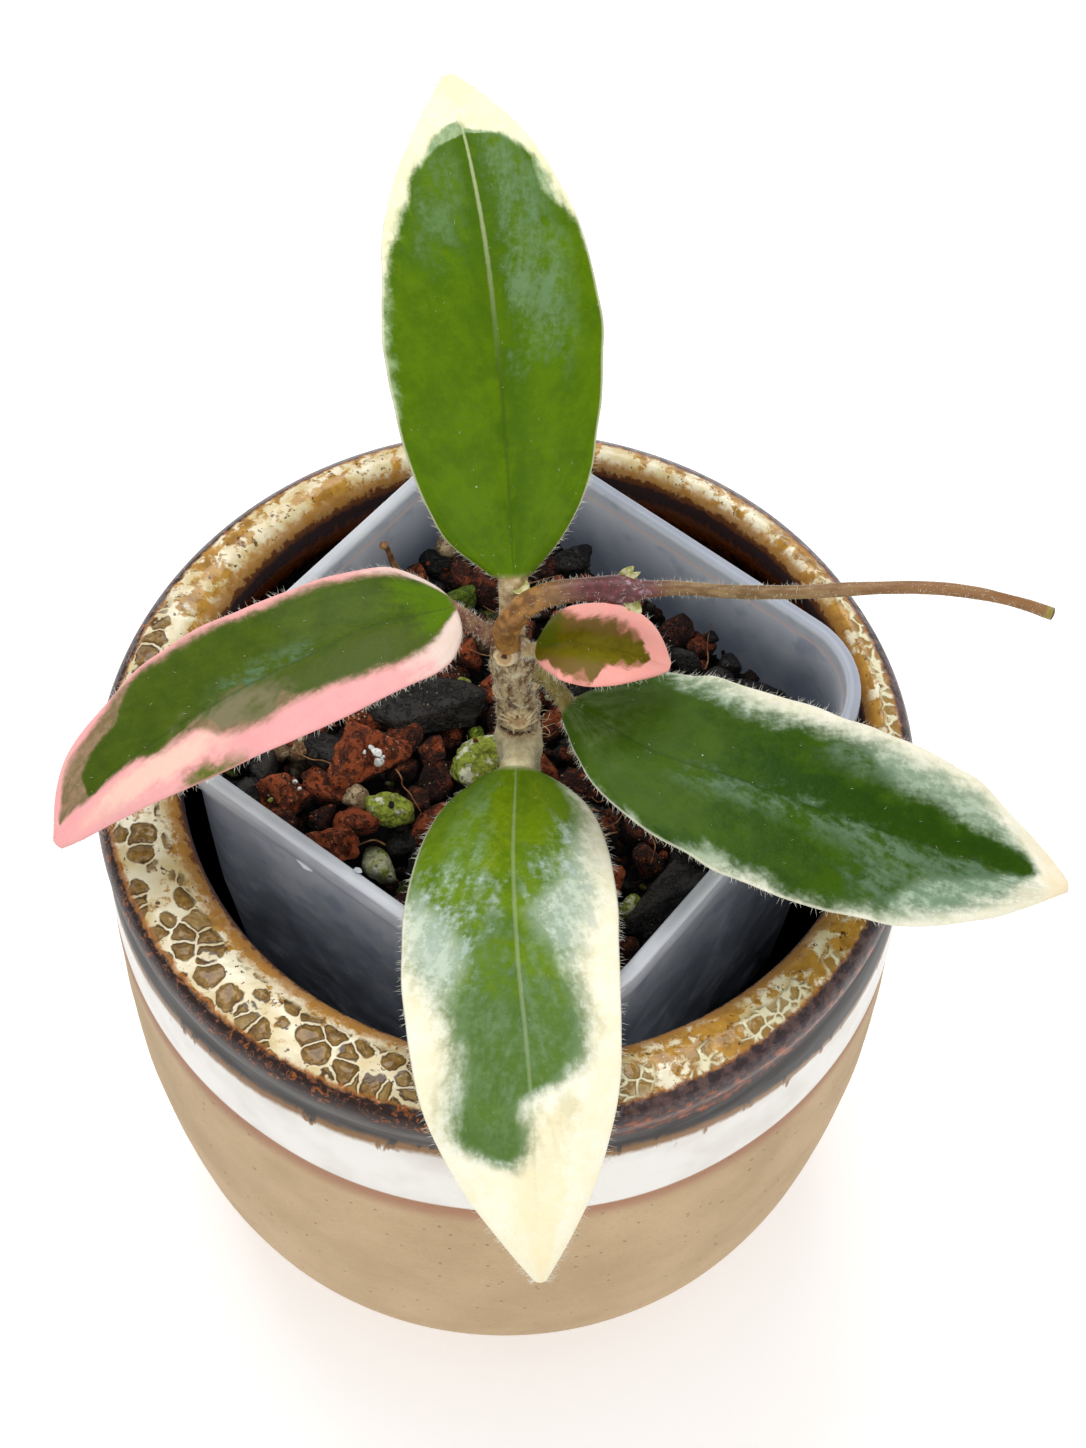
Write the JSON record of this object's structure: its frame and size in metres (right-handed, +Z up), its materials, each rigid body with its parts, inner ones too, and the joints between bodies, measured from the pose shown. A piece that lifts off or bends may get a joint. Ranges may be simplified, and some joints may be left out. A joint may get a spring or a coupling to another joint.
{
  "type": "potted hoya lyi",
  "caption": "Young hoya with thick variegated leaves on a corky stem, in a square nursery pot of grit inside a round glazed stoneware cache pot.",
  "frame": {"origin": "centre of the cache pot's flat foot, on the surface that it stands on", "axes": "+Z up, the front of the plant towards -Y, the runner towards +X"},
  "size_m": [0.1465, 0.1562, 0.1853],
  "materials": {
    "stoneware": "bare speckled clay body, white band and mottled brown and cream glossy rim",
    "plastic": "frosted translucent polypropylene",
    "grit": "rough mixed mineral grit",
    "lava": "rough red lava stone",
    "charcoal": "black charcoal with a faint sheen",
    "pumice": "pale pumice with moss",
    "lime_pumice": "pumice covered with bright moss",
    "bark": "corky pale brown bark with leaf scars",
    "green_leaf": "thick waxy leaf, green with a cream margin and fine hairs",
    "cream_leaf": "thick waxy leaf, cream with a green centre and fine hairs",
    "pink_leaf": "thick waxy leaf, green with a pink margin and fine hairs",
    "shoot": "hairy brown shoot"
  },
  "bodies": {
    "root": {"cache_pot": "stoneware", "nursery_pot": "plastic", "substrate": "grit", "lava_stone_large": "lava", "lava_stone_left": "lava", "lava_stone_front": "lava", "charcoal_long": "charcoal", "charcoal_front": "charcoal", "pumice_pale": "pumice", "pumice_mossy": "pumice", "pumice_lime": "lime_pumice", "dry_twig": "shoot", "stem": "bark", "runner": "shoot", "leaf_back": "green_leaf", "leaf_left": "pink_leaf", "leaf_front": "cream_leaf", "leaf_right": "green_leaf", "leaf_small": "pink_leaf"}
  },
  "joints": []
}
